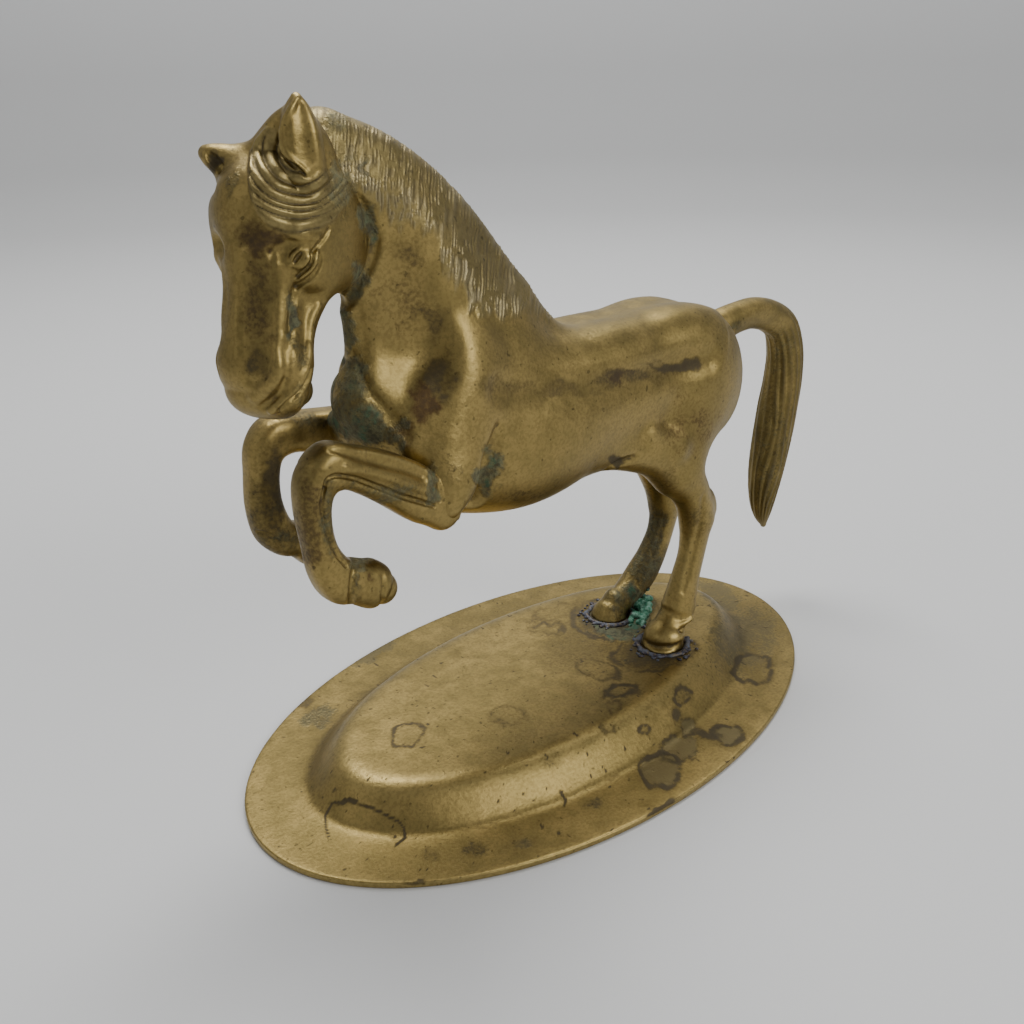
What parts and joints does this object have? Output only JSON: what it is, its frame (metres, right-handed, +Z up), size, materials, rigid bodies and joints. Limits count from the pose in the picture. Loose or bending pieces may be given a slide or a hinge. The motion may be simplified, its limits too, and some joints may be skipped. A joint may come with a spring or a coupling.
{
  "type": "horse statue",
  "caption": "Cast brass horse reared on its hind legs, forelegs folded, on a stepped oval base; a standing ornament.",
  "frame": {"origin": "centre of the oval base's underside, where the statue rests", "axes": "+Z up, +X along the base's long axis towards the tail, so the horse faces -X; +Y to the horse's right"},
  "size_m": [0.1638, 0.091, 0.1329],
  "materials": {
    "base_brass": "aged satin brass with ring stains and brown patina",
    "horse_brass": "worn satin brass, dark in the creases",
    "tail_brass": "duller brass, dark in the hair grooves",
    "solder": "dull blue-grey solder with green corrosion",
    "fixing_steel": "plain steel"
  },
  "bodies": {
    "root": {"base": "base_brass", "body_left_half": "horse_brass", "body_right_half": "horse_brass", "head": "horse_brass", "left_foreleg": "horse_brass", "right_foreleg": "horse_brass", "tail": "tail_brass", "left_hoof_solder": "solder", "right_hoof_solder": "solder", "hoof_screws": "fixing_steel", "hoof_screw_washers": "fixing_steel"}
  },
  "joints": []
}
